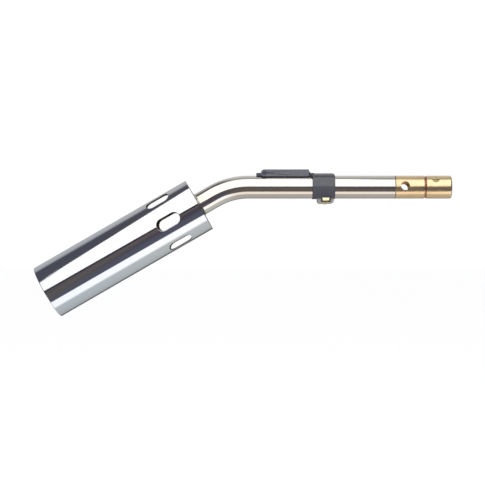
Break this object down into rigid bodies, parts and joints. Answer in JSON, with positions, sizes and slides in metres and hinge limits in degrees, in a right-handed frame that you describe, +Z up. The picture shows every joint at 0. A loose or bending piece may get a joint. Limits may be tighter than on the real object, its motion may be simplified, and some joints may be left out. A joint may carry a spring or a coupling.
{
  "type": "propane torch",
  "caption": "Hand-held propane torch burner: wide slotted flame tube on a bent neck, brass swivel connector, clamp-on rest with a folding leg.",
  "frame": {"origin": "centre of the mouth of the brass connector's socket", "axes": "+X out of the connector's mouth towards the handle, +Z up, away from the side the burner bends to; the neck bends in the XZ plane"},
  "size_m": [0.2909, 0.0384, 0.1021],
  "materials": {
    "chrome": "polished",
    "nickel": "polished, slightly warm",
    "brass": "bright turned",
    "black_enamel": "satin black",
    "zinc": "zinc plated",
    "wire": "drawn wire",
    "copper": "annealed",
    "bronze": "sintered",
    "rubber": "matt"
  },
  "bodies": {
    "connector": {"connector_sleeve": "brass", "lock_screw": "brass", "swivel_washer": "copper", "gas_jet": "brass", "jet_washer": "copper", "jet_filter": "bronze", "swivel_o_ring": "rubber", "retaining_ring": "wire", "socket_o_ring": "rubber"},
    "burner": {"mixer_body": "brass", "neck_tube": "nickel", "flame_tube": "chrome", "back_plate": "chrome", "nozzle_body": "brass", "flame_holder": "brass", "gauze_disc": "wire", "gauze_ring": "wire"},
    "liner": {"clamp_liner": "rubber"},
    "rest_clamp": {"rest_bracket": "black_enamel", "clamp_keeper": "zinc", "clamp_screw": "brass", "clamp_washer": "zinc", "clamp_nut": "brass"},
    "leg": {"rest_leg": "black_enamel", "leg_pin": "black_enamel", "leg_washers": "zinc"}
  },
  "joints": [
    {"name": "burner_swivel", "type": "hinge", "parent": "connector", "child": "burner", "pos_m": [-0.0225, 0, 0], "axis": [1, 0, 0], "continuous": true},
    {"name": "clamp_slide", "type": "slide", "parent": "burner", "child": "liner", "axis": [1, 0, 0], "range_m": [-0.006, 0.04]},
    {"name": "clamp_swivel", "type": "hinge", "parent": "liner", "child": "rest_clamp", "pos_m": [-0.089, 0, 0], "axis": [1, 0, 0], "continuous": true},
    {"name": "leg_fold", "type": "hinge", "parent": "rest_clamp", "child": "leg", "pos_m": [-0.13025, 0, 0.0097], "axis": [0, -1, 0], "range_deg": [0, 90]}
  ]
}
